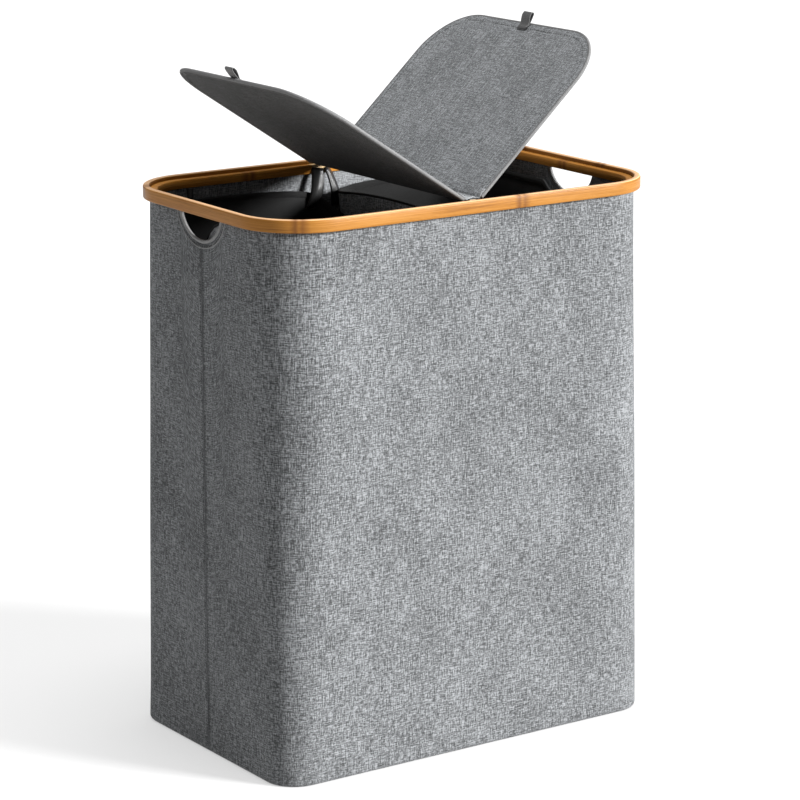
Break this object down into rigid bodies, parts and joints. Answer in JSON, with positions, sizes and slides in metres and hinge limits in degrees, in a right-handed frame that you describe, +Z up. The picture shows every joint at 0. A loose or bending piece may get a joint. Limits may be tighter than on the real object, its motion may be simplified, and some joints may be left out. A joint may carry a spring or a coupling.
{
  "type": "laundry hamper with lid",
  "caption": "Tall fabric laundry hamper with a bamboo rim, side-by-side liner bags, rod-stiffened walls, D-shaped handle holes and a lift-off lid with hinged flaps.",
  "frame": {"origin": "middle of the underside, on the floor", "axes": "+X along the long side to the right, +Y towards the back, +Z up"},
  "size_m": [0.523, 0.333, 0.8034],
  "materials": {
    "bamboo": "satin lacquered bamboo",
    "grey_linen": "melange linen-look weave",
    "charcoal_fabric": "matte plain weave",
    "black_lining": "thin matte lining cloth",
    "black_webbing": "ribbed webbing",
    "fibreboard": "raw board",
    "steel": "drawn rod",
    "black_plastic": "moulded, matte"
  },
  "bodies": {
    "root": {"rim_hoop": "bamboo", "rim_ledge_left": "bamboo", "rim_ledge_right": "bamboo", "rim_saddle_front": "bamboo", "rim_saddle_back": "bamboo", "wall_fabric_front": "grey_linen", "wall_fabric_back": "grey_linen", "wall_board_front": "fibreboard", "wall_board_back": "fibreboard", "wall_board_left": "fibreboard", "wall_board_right": "fibreboard", "wall_lining": "grey_linen", "base_fabric": "grey_linen", "base_board": "fibreboard", "handle_piping_left": "grey_linen", "handle_piping_right": "grey_linen", "rod_front_left": "steel", "rod_front_right": "steel", "rod_back_left": "steel", "rod_back_right": "steel", "rod_pocket_front_left": "black_lining", "rod_pocket_front_right": "black_lining", "rod_pocket_back_left": "black_lining", "rod_pocket_back_right": "black_lining", "rod_socket_front_left": "black_plastic", "rod_socket_front_right": "black_plastic", "rod_socket_back_left": "black_plastic", "rod_socket_back_right": "black_plastic", "liner_bag_left": "black_lining", "liner_bag_right": "black_lining", "bag_hem_left": "black_webbing", "bag_hem_right": "black_webbing", "bag_strap_front_left": "black_webbing", "bag_strap_front_right": "black_webbing", "bag_strap_back_left": "black_webbing", "bag_strap_back_right": "black_webbing"},
    "lid_centre": {"lid_bar": "fibreboard", "lid_sleeve": "charcoal_fabric"},
    "left_flap": {"left_flap_board": "fibreboard", "left_flap_cover_top": "grey_linen", "left_flap_cover_under": "charcoal_fabric", "left_flap_binding": "charcoal_fabric", "left_flap_pull_tab": "black_webbing"},
    "right_flap": {"right_flap_board": "fibreboard", "right_flap_cover_top": "grey_linen", "right_flap_cover_under": "charcoal_fabric", "right_flap_binding": "charcoal_fabric", "right_flap_pull_tab": "black_webbing"}
  },
  "joints": [
    {"name": "lid_lift", "type": "slide", "parent": "root", "child": "lid_centre", "axis": [0, 0, 1], "range_m": [0, 0.12]},
    {"name": "left_flap_hinge", "type": "hinge", "parent": "lid_centre", "child": "left_flap", "pos_m": [-0.0092, 0, 0.6278], "axis": [0, 1, 0], "range_deg": [-33, 52]},
    {"name": "right_flap_hinge", "type": "hinge", "parent": "lid_centre", "child": "right_flap", "pos_m": [0.0092, 0, 0.6278], "axis": [0, -1, 0], "range_deg": [-42.5, 42.5]}
  ]
}
